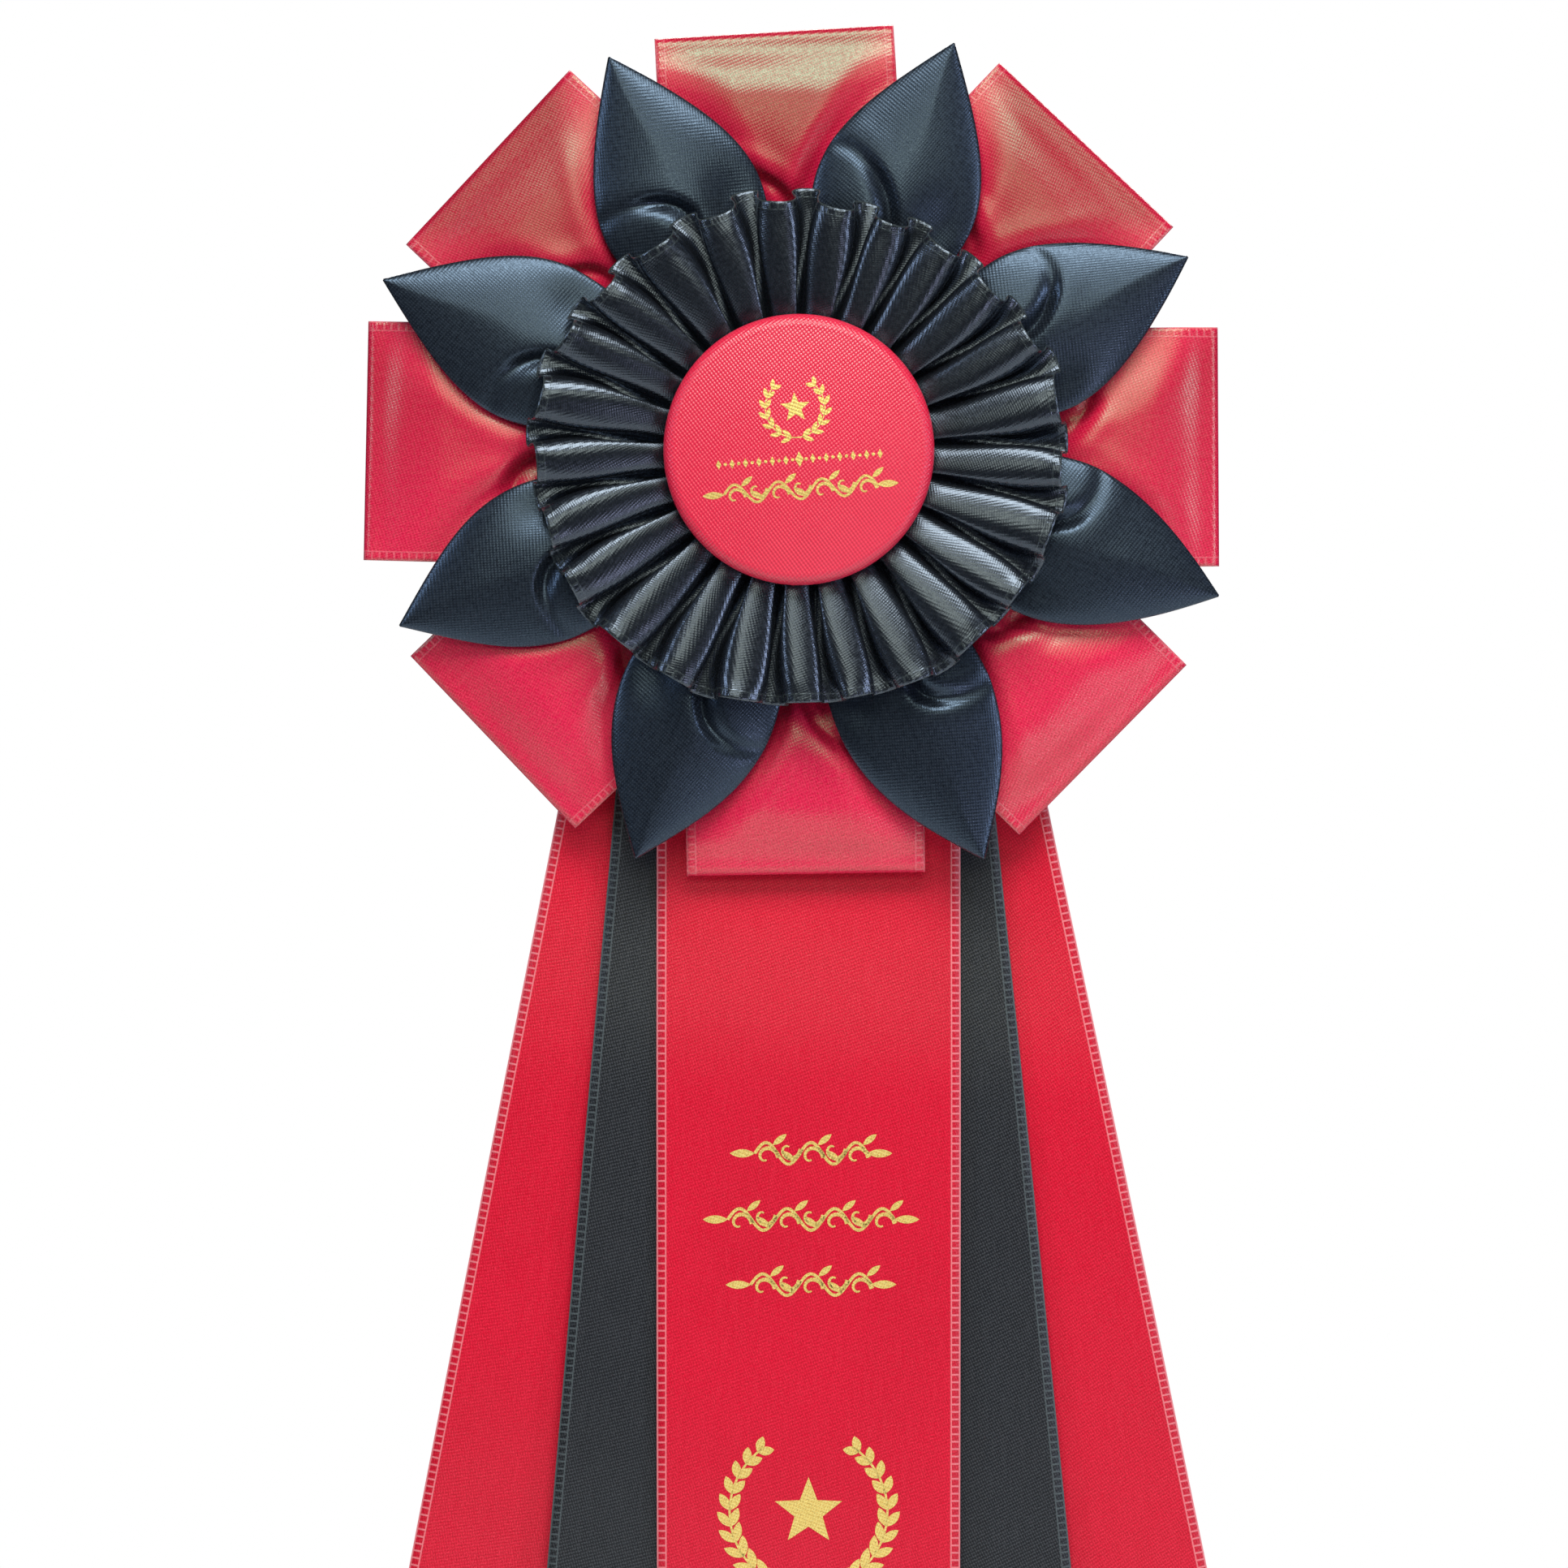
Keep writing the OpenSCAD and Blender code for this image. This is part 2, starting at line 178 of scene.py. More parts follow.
class Nodes:
    """Short calls for building one material's nodes."""

    def __init__(self, name):
        self.material = bpy.data.materials.new(name)
        self.material.use_nodes = True
        self.tree = self.material.node_tree
        self.shader = self.tree.nodes["Principled BSDF"]

    def link(self, source, target):
        if isinstance(source, bpy.types.NodeSocket):
            self.tree.links.new(source, target)
        else:
            target.default_value = source

    def math(self, operation, a, b=0.0, clamp=False):
        node = self.tree.nodes.new("ShaderNodeMath")
        node.operation = operation
        node.use_clamp = clamp
        self.link(a, node.inputs[0])
        self.link(b, node.inputs[1])
        return node.outputs[0]

    def ramp(self, value, low, high, to_low=0.0, to_high=1.0):
        """value mapped smoothly from low..high to to_low..to_high."""
        node = self.tree.nodes.new("ShaderNodeMapRange")
        node.interpolation_type = "SMOOTHSTEP"
        self.link(value, node.inputs["Value"])
        limits = {"From Min": low, "From Max": high, "To Min": to_low, "To Max": to_high}
        for socket, number in limits.items():
            node.inputs[socket].default_value = number
        return node.outputs["Result"]

    def split(self, vector):
        node = self.tree.nodes.new("ShaderNodeSeparateXYZ")
        self.tree.links.new(vector, node.inputs[0])
        return node.outputs["X"], node.outputs["Y"], node.outputs["Z"]

    def uv(self):
        """The ribbon's own coordinates: millimetres across, from its middle line, and along."""
        node = self.tree.nodes.new("ShaderNodeUVMap")
        node.uv_map = "ribbon"
        across, along, _ = self.split(node.outputs["UV"])
        return node.outputs["UV"], across, along

    def position(self):
        return self.tree.nodes.new("ShaderNodeTexCoord").outputs["Object"]

    def noise(self, vector, scale, detail, stretch=None):
        if stretch:
            mapping = self.tree.nodes.new("ShaderNodeMapping")
            mapping.inputs["Scale"].default_value = stretch
            self.tree.links.new(vector, mapping.inputs["Vector"])
            vector = mapping.outputs["Vector"]
        node = self.tree.nodes.new("ShaderNodeTexNoise")
        node.inputs["Scale"].default_value = scale
        node.inputs["Detail"].default_value = detail
        self.tree.links.new(vector, node.inputs["Vector"])
        return node.outputs["Fac"]

    def mix(self, factor, a, b):
        node = self.tree.nodes.new("ShaderNodeMix")
        node.data_type = "RGBA"
        self.link(factor, node.inputs["Factor"])
        self.link(a if isinstance(a, bpy.types.NodeSocket) else (*a, 1), node.inputs["A"])
        self.link(b if isinstance(b, bpy.types.NodeSocket) else (*b, 1), node.inputs["B"])
        return node.outputs["Result"]

    def wave(self, coordinate, pitch):
        """A sine from -1 to 1 that repeats every pitch."""
        return self.math("SINE", self.math("MULTIPLY", coordinate, TAU / pitch))

    def weave(self, first, first_pitch, second, second_pitch):
        """Two sets of threads that cross, from -1 in the gaps between them to 1 where both stand up."""
        both = self.math("ADD", self.wave(first, first_pitch), self.wave(second, second_pitch))
        return self.math("MULTIPLY", both, 0.5)

    def bump(self, height, distance, strength, normal=None):
        node = self.tree.nodes.new("ShaderNodeBump")
        node.inputs["Strength"].default_value = strength
        node.inputs["Distance"].default_value = distance
        self.tree.links.new(height, node.inputs["Height"])
        if normal is not None:
            self.tree.links.new(normal, node.inputs["Normal"])
        return node.outputs["Normal"]

    def set(self, **values):
        for name, value in values.items():
            self.shader.inputs[name.replace("_", " ")].default_value = value

    def colour(self, source):
        self.tree.links.new(source, self.shader.inputs["Base Color"])

    def roughness(self, source):
        self.tree.links.new(source, self.shader.inputs["Roughness"])

    def normal(self, source):
        self.tree.links.new(source, self.shader.inputs["Normal"])


# ---- Satin ----

# The ribbons' twill: how steeply its rows climb across the cloth, and the pitches of its ribs and yarns
SLANT = 0.36
RIB_PITCH = 0.84
YARN_PITCH = 0.64
# The selvedge: band width, how its two rails come in by the distance from the edge, and the rungs' pitch
SELVEDGE_W = 2.5
OUTER_RAIL = (0.5, 0.2)
INNER_RAIL = (1.9, 2.2)
RUNG_PITCH = 1.8
# Usual run of a loop's ribbon from its back base to its front one, and where its fold is
LOOP_RUN = 136
FOLD_RUN = (LOOP_RUN / 2 - 4, LOOP_RUN / 2 + 4)
# The loops' painted shade, a darker red standing in for how the light falls on the upper loops, shows on
# the loops' fronts where the petals leave them free. It comes in between two heights, in metres. The free
# part widens from the loop's base, and the painted shade grows over a margin inside it.
SHADE_HEIGHTS = (-0.06, 0.09)
FREE_SLOPE = 0.75
SHADE_MARGIN = (14, 30)
SHADE_SHARE = 0.92
# The button's finer cloth: the cosine and sine of its turn, and its threads' pitch
BUTTON_TURN = (0.8, 0.6)
BUTTON_PITCH = 0.75


def twill(n, across, along):
    """The ribbons' weave: rows of small floats that climb slantwise over the cloth."""
    up = n.math("ADD", along, n.math("MULTIPLY", across, SLANT))
    over = n.math("SUBTRACT", across, n.math("MULTIPLY", along, SLANT))
    return n.weave(up, RIB_PITCH, over, YARN_PITCH)


def selvedge(n, across, along, half_w):
    """The woven edge: its band, and what stands up in it, which is two rails with rungs between them."""
    inside = n.math("SUBTRACT", half_w, n.math("ABSOLUTE", across))
    band = n.ramp(inside, SELVEDGE_W, SELVEDGE_W - 0.4)
    inner_rail = n.math("MULTIPLY", band, n.ramp(inside, *INNER_RAIL))
    rails = n.math("ADD", n.ramp(inside, *OUTER_RAIL), inner_rail)
    rungs = n.math("MULTIPLY", band, n.ramp(n.wave(along, RUNG_PITCH), 0.5, 0.95))
    return band, n.math("MAXIMUM", rails, n.math("MULTIPLY", rungs, 0.8))


def painted_upper_shade(n, place_in_part, across, along):
    """A loop's share of its painted shade: on its front, between its petals, and more the higher it stands.
    """
    upper = n.ramp(n.split(place_in_part)[2], *SHADE_HEIGHTS)
    in_front = n.math("MULTIPLY", upper, n.ramp(along, *FOLD_RUN))
    free_half_w = n.math("MULTIPLY", n.math("SUBTRACT", LOOP_RUN, along), FREE_SLOPE)
    margin = n.math("SUBTRACT", free_half_w, n.math("ABSOLUTE", across))
    return n.math("MULTIPLY", in_front, n.ramp(margin, *SHADE_MARGIN, 0.0, SHADE_SHARE))


def satin(name, dark, body, light, edge, gloss, half_w, second=None, ladder=0.0, specks=0.5, rough=0.36,
          grit=0.07, shine=1.0, ior=1.5):
    """Woven satin ribbon. half_w is half its width, or 0 where its selvedges are folded away.

    dark, body and light are the cloth's tones, which the painted glints and shade on the grain and twill also
    use. edge is its selvedge's tone, gloss its shine's, and second the loops' painted shade, a darker red for
    the upper loops. ladder is how plain the selvedge's rungs and the painted shade between them are, and
    specks how strong the twill's painted glints and shade are. rough is how wide the shine spreads, and grit
    how much the grain breaks it up.
    """
    n = Nodes(name)
    uv, across, along = n.uv()
    place_in_part = n.position()
    drift = n.ramp(n.noise(place_in_part, 22, 2), 0.3, 0.7)
    slub = n.ramp(n.noise(uv, 1.0, 4, (2.4, 0.10, 1)), 0.35, 0.75)
    grain = n.noise(uv, 2.7, 2, (1.4, 0.8, 1))
    cloth = n.mix(n.math("MULTIPLY", drift, 0.25), body, dark)
    cloth = n.mix(n.math("MULTIPLY", slub, 0.25), cloth, light)
    # lighter where the grain stands up in the bump and darker where it sinks: partly random tone, partly
    # painted glints and shade
    cloth = n.mix(n.ramp(grain, 0.50, 0.72, 0.0, 0.8), cloth, light)
    cloth = n.mix(n.ramp(grain, 0.50, 0.30, 0.0, 0.8), cloth, dark)
    # second is painted shade: a darker red on the upper loops' fronts, for how the light falls on them
    if second:
        cloth = n.mix(painted_upper_shade(n, place_in_part, across, along), cloth, second)
    weave = twill(n, across, along)
    # painted glints on the twill's raised floats, and painted shade in the gaps between them
    cloth = n.mix(n.ramp(weave, 0.15, 0.85, 0.0, specks), cloth, light)
    cloth = n.mix(n.ramp(weave, -0.15, -0.85, 0.0, 0.7 * specks), cloth, dark)
    height = n.math("ADD", n.math("MULTIPLY", weave, 0.5), n.math("MULTIPLY", grain, 0.7))
    if half_w:
        band, raised = selvedge(n, across, along, half_w)
        cloth = n.mix(n.math("MULTIPLY", raised, 0.10 + 0.5 * ladder), cloth, edge)
        # painted shade in the gaps between the selvedge's raised rails and rungs
        gaps = n.math("SUBTRACT", band, raised, clamp=True)
        cloth = n.mix(n.math("MULTIPLY", gaps, 0.18 * ladder), cloth, dark)
        height = n.math("ADD", height, raised)
    n.colour(cloth)
    worn = n.ramp(n.noise(uv, 0.9, 3), 0.25, 0.75, rough - 0.05, rough + 0.07)
    n.roughness(n.math("ADD", worn, n.ramp(grain, 0.34, 0.66, grit, -grit)))
    crease = n.bump(n.noise(place_in_part, 90, 3), 0.0006, 0.16)
    n.normal(n.bump(height, 0.00004, 0.7, crease))
    tangent = n.tree.nodes.new("ShaderNodeTangent")
    tangent.direction_type = "UV_MAP"
    tangent.uv_map = "ribbon"
    n.tree.links.new(tangent.outputs["Tangent"], n.shader.inputs["Tangent"])
    n.set(Anisotropic=0.4, Specular_IOR_Level=shine, Specular_Tint=(*gloss, 1), IOR=ior)
    return n.material


RED = dict(dark=(0.40, 0.001, 0.014), body=(0.63, 0.001, 0.030), light=(0.84, 0.030, 0.080),
           edge=(0.95, 0.42, 0.50), gloss=(0.16, 0.90, 0.95))
# the loops' second colour is a darker red painted as shade on the upper loops
LOOP_RED = dict(RED, body=(0.84, 0.001, 0.095), light=(0.92, 0.08, 0.16), gloss=(0.16, 0.70, 0.52),
                second=(0.30, 0.003, 0.020))
BLACK = dict(dark=(0.002, 0.003, 0.005), body=(0.005, 0.007, 0.013), light=(0.034, 0.046, 0.068),
             edge=(0.09, 0.12, 0.13), gloss=(0.42, 0.64, 1.0))
RUFFLE_BLACK = dict(BLACK, body=(0.006, 0.008, 0.012), light=(0.018, 0.022, 0.030), gloss=(0.56, 0.72, 1.0))
DULL_BLACK = dict(BLACK, body=(0.012, 0.014, 0.020), light=(0.060, 0.068, 0.086), edge=(0.12, 0.16, 0.19),
                  gloss=(0.80, 0.90, 1.0))


def make_materials():
    return {
        "loop": satin("red_loop_satin", **LOOP_RED, half_w=LOOP_W / 2, ladder=0.35, specks=0.45, rough=0.31,
                      ior=1.6),
        "petal": satin("black_petal_satin", **BLACK, half_w=0, specks=0.6, rough=0.30),
        "ruffle": satin("black_ruffle_satin", **RUFFLE_BLACK, half_w=RUFFLE_RIBBON_W / 2, ladder=0.4,
                        specks=0.3, rough=0.25, grit=0.03, ior=1.6),
        "red": satin("red_streamer_satin", **RED, half_w=STREAMER_W / 2, ladder=1.0, shine=0.45),
        "black": satin("black_streamer_satin", **DULL_BLACK, half_w=STREAMER_W / 2, ladder=1.0, specks=0.9,
                       rough=0.40, shine=0.4),
        "button": button_satin(),
        "foil": gold_foil(),
        "thread": thread(),
        "card": card(),
        "foam": foam(),
        "glue": glue(),
        "wire": metal("staple_wire", (0.72, 0.73, 0.74), 0.28, 900),
        "tin": metal("tinplate", (0.70, 0.71, 0.72), 0.35, 350),
        "pin": metal("pin_steel", (0.78, 0.79, 0.81), 0.16, 500),
    }


def button_satin():
    """Finer cloth than the ribbons', stretched over the button, with its weave in the plane of its face."""
    n = Nodes("red_button_satin")
    uv, across, along = n.uv()
    drift = n.ramp(n.noise(uv, 0.05, 2), 0.3, 0.7)
    cloth = n.mix(n.math("MULTIPLY", drift, 0.3), (0.86, 0.018, 0.078), (0.76, 0.008, 0.060))
    cos, sin = BUTTON_TURN
    warp = n.math("ADD", n.math("MULTIPLY", across, cos), n.math("MULTIPLY", along, sin))
    weft = n.math("SUBTRACT", n.math("MULTIPLY", along, cos), n.math("MULTIPLY", across, sin))
    weave = n.weave(warp, BUTTON_PITCH, weft, BUTTON_PITCH)
    # painted shade in the weave's gaps, and painted glints on its raised threads
    cloth = n.mix(n.ramp(weave, -0.8, 0.1, 0.34, 0.0), cloth, (0.36, 0.002, 0.026))
    cloth = n.mix(n.ramp(weave, 0.2, 0.9, 0.0, 0.28), cloth, (0.92, 0.13, 0.20))
    n.colour(cloth)
    n.roughness(n.ramp(n.noise(uv, 0.8, 3), 0.3, 0.7, 0.28, 0.34))
    n.normal(n.bump(weave, 0.00009, 0.6, n.bump(n.noise(uv, 0.35, 3), 0.0003, 0.2)))
    n.set(Specular_IOR_Level=1.0, Specular_Tint=(0.3, 0.86, 0.96, 1))
    return n.material


def gold_foil():
    """Hot-pressed foil: bright, with the cloth's weave and small misses showing in it."""
    n = Nodes("gold_foil")
    uv, across, along = n.uv()
    missed = n.ramp(n.noise(uv, 2.2, 4), 0.35, 0.75)
    weave = twill(n, across, along)
    # the misses are real gaps in the foil; darker in the weave's low parts is painted shade
    dull = n.math("MAXIMUM", missed, n.ramp(weave, 0.0, -0.8))
    n.colour(n.mix(dull, (0.98, 0.84, 0.32), (0.78, 0.54, 0.13)))
    n.roughness(n.ramp(n.noise(uv, 1.5, 3), 0.3, 0.8, 0.26, 0.46))
    n.normal(n.bump(weave, 0.00006, 0.5))
    n.set(Metallic=0.35, Specular_IOR_Level=0.8, Specular_Tint=(1.0, 0.9, 0.6, 1))
    return n.material


# ---- Other finishes ----

def thread():
    n = Nodes("thread")
    ply = n.noise(n.position(), 2600, 2)
    n.colour(n.mix(ply, (0.012, 0.013, 0.018), (0.05, 0.052, 0.06)))
    n.normal(n.bump(ply, 0.0001, 0.8))
    n.set(Roughness=0.6, Sheen_Weight=0.3)
    return n.material


def card():
    """Pulp board: pale, with fibres, faint mottling and a slightly bruised surface."""
    n = Nodes("card")
    place_in_part = n.position()
    fibre = n.noise(place_in_part, 900, 5, (1, 1, 0.25))
    mottle = n.ramp(n.noise(place_in_part, 60, 3), 0.3, 0.7)
    pulp = n.mix(mottle, (0.84, 0.82, 0.76), (0.78, 0.75, 0.68))
    n.colour(n.mix(n.ramp(fibre, 0.55, 0.75), pulp, (0.66, 0.61, 0.52)))
    n.roughness(n.ramp(mottle, 0, 1, 0.78, 0.9))
    n.normal(n.bump(fibre, 0.0001, 0.5, n.bump(mottle, 0.0003, 0.2)))
    return n.material


def foam():
    n = Nodes("foam")
    voronoi = n.tree.nodes.new("ShaderNodeTexVoronoi")
    voronoi.inputs["Scale"].default_value = 1500
    n.tree.links.new(n.position(), voronoi.inputs["Vector"])
    cell = voronoi.outputs["Distance"]
    n.colour(n.mix(n.ramp(cell, 0.1, 0.7), (0.70, 0.70, 0.68), (0.92, 0.92, 0.90)))
    n.normal(n.bump(cell, 0.0002, 0.8))
    n.set(Roughness=0.88)
    return n.material


def glue():
    n = Nodes("glue")
    lump = n.noise(n.position(), 240, 3)
    n.colour(n.mix(lump, (0.80, 0.74, 0.58), (0.88, 0.84, 0.72)))
    n.roughness(n.ramp(lump, 0.3, 0.7, 0.3, 0.5))
    n.normal(n.bump(lump, 0.0004, 0.5))
    n.set(Subsurface_Weight=0.1)
    return n.material


def metal(name, tint, rough, grain):
    """Bright drawn or pressed metal with fine drawing marks and a few duller patches."""
    n = Nodes(name)
    place_in_part = n.position()
    marks = n.noise(place_in_part, grain, 4, (0.15, 1, 1))
    dull = n.ramp(n.noise(place_in_part, 130, 3), 0.4, 0.75)
    n.colour(n.mix(n.math("MULTIPLY", dull, 0.35), tint, tuple(0.72 * c for c in tint)))
    n.roughness(n.math("ADD", n.math("MULTIPLY", dull, 0.12), n.math("MULTIPLY", marks, rough)))
    n.normal(n.bump(marks, 0.00003, 0.4))
    n.set(Metallic=1.0)
    return n.material


# ---- Mesh helpers ----

def smooth(low, high, value):
    t = np.clip((value - low) / (high - low), 0, 1)
    return t * t * (3 - 2 * t)


def mix(a, b, t):
    return a + (b - a) * t


def ridge(offset, width):
    """A bell of height 1 over a line, by the distance from it."""
    return np.exp(-(offset / width) ** 2)


def place(x, r, depth, angle):
    """Points of a piece drawn pointing up, turned clockwise by angle in degrees about the button's middle."""
    a = math.radians(angle)
    across = x * math.cos(a) + r * math.sin(a)
    up = -x * math.sin(a) + r * math.cos(a)
    return np.stack(np.broadcast_arrays(across, -depth, up), axis=-1)


def sheet_mesh(name, points, uv, material, thickness):
    """A sheet of cloth from a grid of points, with the ribbon's own coordinates as its UV map."""
    rows, cols = points.shape[:2]
    index = np.arange(rows * cols).reshape(rows, cols)
    corners = [index[:-1, :-1], index[:-1, 1:], index[1:, 1:], index[1:, :-1]]
    faces = np.stack(corners, axis=-1).reshape(-1, 4)
    mesh = bpy.data.meshes.new(name)
    mesh.from_pydata((points.reshape(-1, 3) * MM).tolist(), [], faces.tolist())
    layer = mesh.uv_layers.new(name="ribbon")
    layer.data.foreach_set("uv", uv.reshape(-1, 2)[faces.ravel()].astype(np.float32).ravel())
    mesh.polygons.foreach_set("use_smooth", [True] * len(faces))
    mesh.materials.append(material)
    obj = add_object(name, mesh)
    solid = obj.modifiers.new("thickness", "SOLIDIFY")
    solid.thickness = thickness * MM
    solid.offset = 0
    return obj


def grid(rows, cols):
    """Row and column shares from 0 to 1, as two arrays of the grid's shape."""
    return np.meshgrid(np.linspace(0, 1, rows), np.linspace(0, 1, cols), indexing="ij")


# ---- Loops ----

LOOP_T = 0.28
LOOP_BASE_R = 33
LOOP_BASE_HALF_W = 8.5
FOLD_R = 1.7
# The radius at which a loop's face is fullest, and how far it stands from the CAD solid's back there
FULL_R = 72
PUFF = 7.0
# Where the ruffle tucks a loop's left half in: across, as a share of half the loop's width, and radius
LOOP_TUCK = (-0.52, 56)
# Half of what shows of a loop between its petals, by radius, and how far the cloth bulges out there
SHOWING_R = [55, 63, 75, 85, 94]
SHOWING_HALF_W = [3, 6, 12, 21, 32]
BULGE = 2.2
# The fold's soft roll: a ridge and a groove just inside the fold
ROLL = 0.10
ROLL_RIDGE_AT = 8.5
ROLL_GROOVE_AT = 4.2


def tuck(t, r, middle, half_t, half_r, rng):
    """A tuck round an ellipse of cloth: the trench inside its rim and the lip outside it, from 0 to 1."""
    t = t + rng.uniform(0.02, 0.07) * np.sin(0.20 * r + rng.uniform(0, TAU))
    r = r + rng.uniform(0.6, 1.8) * np.sin(2.6 * t + rng.uniform(0, TAU))
    inside = 1 - np.hypot((t - middle[0]) / half_t, (r - middle[1]) / half_r)
    softness = mix(0.34, 0.07, smooth(-0.65, 0.0, t))
    trench = smooth(-0.05, softness, inside) * ridge(np.clip(inside - 0.07, 0, None), 0.19)
    return trench, ridge(inside + 0.20, 0.18)


def loop_front(r, t, reach, rng):
    """Depth of a loop's front layer from its CAD solid's back. t runs from -1 to 1 across the loop."""
    swell = mix(1.0, PUFF, smooth(38, FULL_R, r))
    towards_fold = np.clip((r - FULL_R) / (reach - FULL_R), 0, 1)
    depth = mix(swell, 2 * FOLD_R, towards_fold ** 1.6)
    # shallow folds that fan out from the gathered base
    phase = rng.uniform(0, TAU)
    fan = 0.45 * np.cos(TAU * 1.1 * t + phase) + 0.25 * np.cos(TAU * 2.3 * t + 2 * phase)
    depth = depth + (1 - smooth(50, 92, r)) * fan
    rim_t = rng.uniform(-0.02, 0.14)
    rim_r = rng.uniform(69, 74)
    trench, lip = tuck(t, r, LOOP_TUCK, rim_t - LOOP_TUCK[0], rim_r - LOOP_TUCK[1], rng)
    depth = depth - rng.uniform(1.7, 2.5) * trench + rng.uniform(0.3, 0.6) * lip * smooth(54, 62, r)
    # a faint crease that runs on from the tuck to the far corner
    crease = t - rim_t - 0.6 * smooth(66, reach, r)
    depth = depth + 0.40 * ridge(crease, 0.11) * smooth(60, 70, r) * (1 - smooth(78, 96, r))
    # the slow roll of the face
    belly = 0.5 * (1 - t ** 2) + 0.3 * np.cos(TAU * (0.55 * t + 0.02 * r) + phase)
    depth = depth + smooth(60, 90, r) * (1 - smooth(reach - 10, reach, r)) * belly
    showing = np.interp(r, SHOWING_R, SHOWING_HALF_W) / (LOOP_W / 2)
    bulge = 1 - smooth(0.45 * showing, 1.25 * showing, np.abs(t))
    bulge = bulge * smooth(48, 64, r) * (1 - smooth(84, reach - 2, r))
    from_fold = reach - r
    roll = ridge(from_fold - ROLL_RIDGE_AT, 2.4) - 0.6 * ridge(from_fold - ROLL_GROOVE_AT, 1.8)
    return depth + BULGE * bulge + ROLL * roll


def loop_sheet(i, material):
    """One ribbon folded back on itself, gathered where it is stapled and soft at its outer fold."""
    rng = random.Random(40 + i)
    reach = LOOP_REACH[i]
    straight = reach - FOLD_R - LOOP_BASE_R
    arc = math.pi * FOLD_R
    s, c = grid(170, 56)
    t = 2 * c - 1
    run = s * (2 * straight + arc)
    turn = np.clip((run - straight) / FOLD_R, 0, math.pi)
    from_turn = np.maximum(straight - run, 0) + np.maximum(run - straight - arc, 0)
    r = reach - FOLD_R + FOLD_R * np.sin(turn) - from_turn
    half_w = mix(LOOP_BASE_HALF_W, LOOP_W / 2, smooth(LOOP_BASE_R - 6, 80, r) ** 0.85)
    back = 0.4 + 0.5 * (1 - smooth(36, 60, r)) * np.cos(TAU * 1.6 * t + i)
    depth = back + (loop_front(r, t, reach, rng) - back) * (1 - np.cos(turn)) / 2
    uv = np.stack([t * LOOP_W / 2, run], axis=-1)
    points = place(half_w * t, r, LOOP_BACK + depth, STEP * i + LOOP_LEAN[i])
    return sheet_mesh(f"red_loop_ribbon_{i + 1}", points, uv, material, LOOP_T)


# ---- Petals ----

PETAL_T = 0.28
PETAL_BASE_R = 30
PETAL_TAPER = 40
# Where the ruffle tucks a petal's left half in, half the height of the ellipse that the tuck runs round, and
# where the petal dips on its right
PETAL_TUCK = (-0.72, 59)
PETAL_TUCK_HALF_R = 14
PETAL_DIP = (0.62, 61)
# How far a petal's folded sides lie in front of its CAD solid's back, and how much further nearer its base
PETAL_SIDE = 1.3
PETAL_BASE_RISE = 0.8
# How far the flaps behind lie from the face in the cloth's pattern
FLAP_UV = 40


def petal_half_width(reach, r):
    """Half of a petal's width: pointed at its tip, widest 40 mm below it, and gathered at its base."""
    q = reach - r
    tip = np.sin(math.pi / 2 * np.clip(q / PETAL_TAPER, 0, 1))
    base = np.clip((q - PETAL_TAPER) / (reach - PETAL_TAPER - PETAL_BASE_R), 0, 1)
    return PETAL_W / 2 * tip * (1 - 0.5 * base ** 1.6)


def petal_relief(i, r, t, share, rng):
    """Folds of a petal's face, in front of its smooth crown. share is its width there over its full width.

    A tuck starts at a crisp crease in the middle and curves out to the left, round a puff of cloth. The right
    side dips, and towards the tip a spine runs up a slow wave.
    """
    crease = 0.04 + rng.uniform(-0.07, 0.09)
    half_r = PETAL_TUCK_HALF_R + rng.uniform(-2.0, 1.5)
    trench, lip = tuck(t, r, PETAL_TUCK, crease - PETAL_TUCK[0], half_r, rng)
    trench = trench * mix(0.4, 1.0, smooth(-0.75, -0.10, t))
    dip = np.exp(-((t - PETAL_DIP[0]) / 0.30) ** 2 - ((r - PETAL_DIP[1]) / 8) ** 2)
    brow = share * np.cos(TAU * (0.35 * t + 0.010 * r) + rng.uniform(-0.6, 0.6)) * smooth(72, 84, r)
    spine = np.exp(-np.abs(t - 0.10 * np.sin(0.1 * r + i)) / 0.22) * smooth(66, PETAL_REACH[i] - 14, r)
    return rng.uniform(-3.7, -3.1) * trench + 0.1 * lip - 1.4 * dip + 0.2 * brow + 0.35 * share * spine


def petal_sheet(i, material):
    """One ribbon folded to a point: a puffed face, folded sides and two flaps that meet behind."""
    rng = random.Random(70 + i)
    reach = PETAL_REACH[i]
    s, c = grid(96, 132)
    r = PETAL_BASE_R + (reach - PETAL_BASE_R - 0.15) * s ** 0.93
    wrap = math.pi * (2 * c - 1)
    t = np.sin(wrap)
    front = smooth(-0.25, 0.25, np.cos(wrap))
    half_w = petal_half_width(reach, r)
    share = half_w / (PETAL_W / 2)
    roundness = np.sqrt(np.clip(1 - t ** 2, 0, 1))
    swell = smooth(32, 60, r) * share
    crown = 0.7 * roundness + swell * (1.2 * roundness + 2.4 * (1 - np.abs(t) ** 1.5))
    relief = petal_relief(i, r, t, share, rng) * smooth(36, 52, r) * roundness ** 0.5
    side = PETAL_BACK + PETAL_SIDE + PETAL_BASE_RISE * smooth(90, 60, r)
    depth = side + front * (crown + relief) - (1 - front) * 0.7 * roundness
    x = half_w * t * (1 + 0.02 * np.sin(0.11 * r + i))
    uv = np.stack([half_w * t + np.where(front > 0.5, 0, FLAP_UV), r], axis=-1)
    points = place(x, r, depth, STEP * (i + 0.5) + PETAL_LEAN[i])
    return sheet_mesh(f"black_petal_ribbon_{i + 1}", points, uv, material, PETAL_T)


# ---- Ruffle ----

